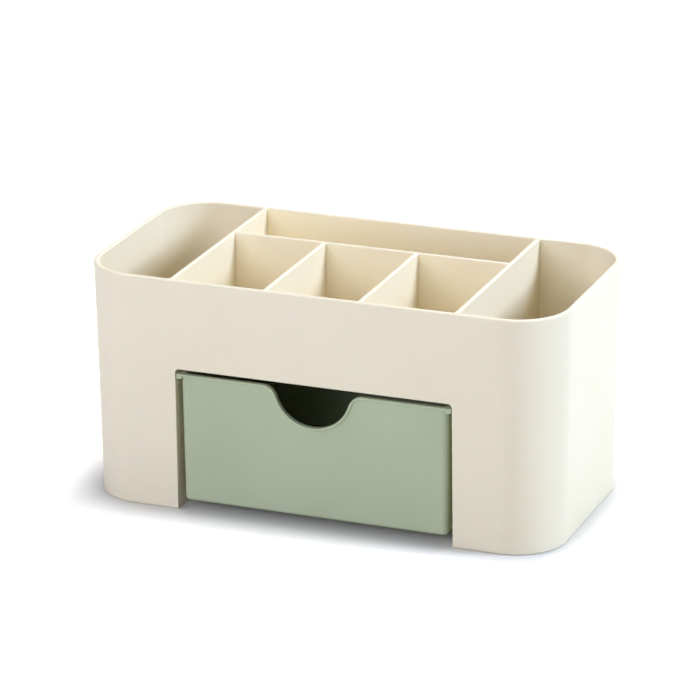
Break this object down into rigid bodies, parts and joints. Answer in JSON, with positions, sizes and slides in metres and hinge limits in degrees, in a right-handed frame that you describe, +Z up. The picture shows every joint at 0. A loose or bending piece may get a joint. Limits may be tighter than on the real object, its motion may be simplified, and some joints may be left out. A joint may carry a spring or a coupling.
{
  "type": "brush holder with drawer",
  "caption": "Desktop brush holder: rounded oblong cup with end pockets, a long rear pocket, small front pockets and a hanging drawer with a finger notch.",
  "frame": {"origin": "centre of the base, in the plane of the table", "axes": "+X along the length, to the right seen from the front; +Z up; -Y is the front, where the drawer comes out"},
  "size_m": [0.22, 0.111, 0.107],
  "materials": {
    "cream_plastic": "satin, warm cream",
    "sage_plastic": "satin, sage green"
  },
  "bodies": {
    "body": {"body": "cream_plastic"},
    "drawer": {"drawer": "sage_plastic"}
  },
  "joints": [
    {"name": "drawer_slide", "type": "slide", "parent": "body", "child": "drawer", "axis": [0, -1, 0], "range_m": [0, 0.075]}
  ]
}
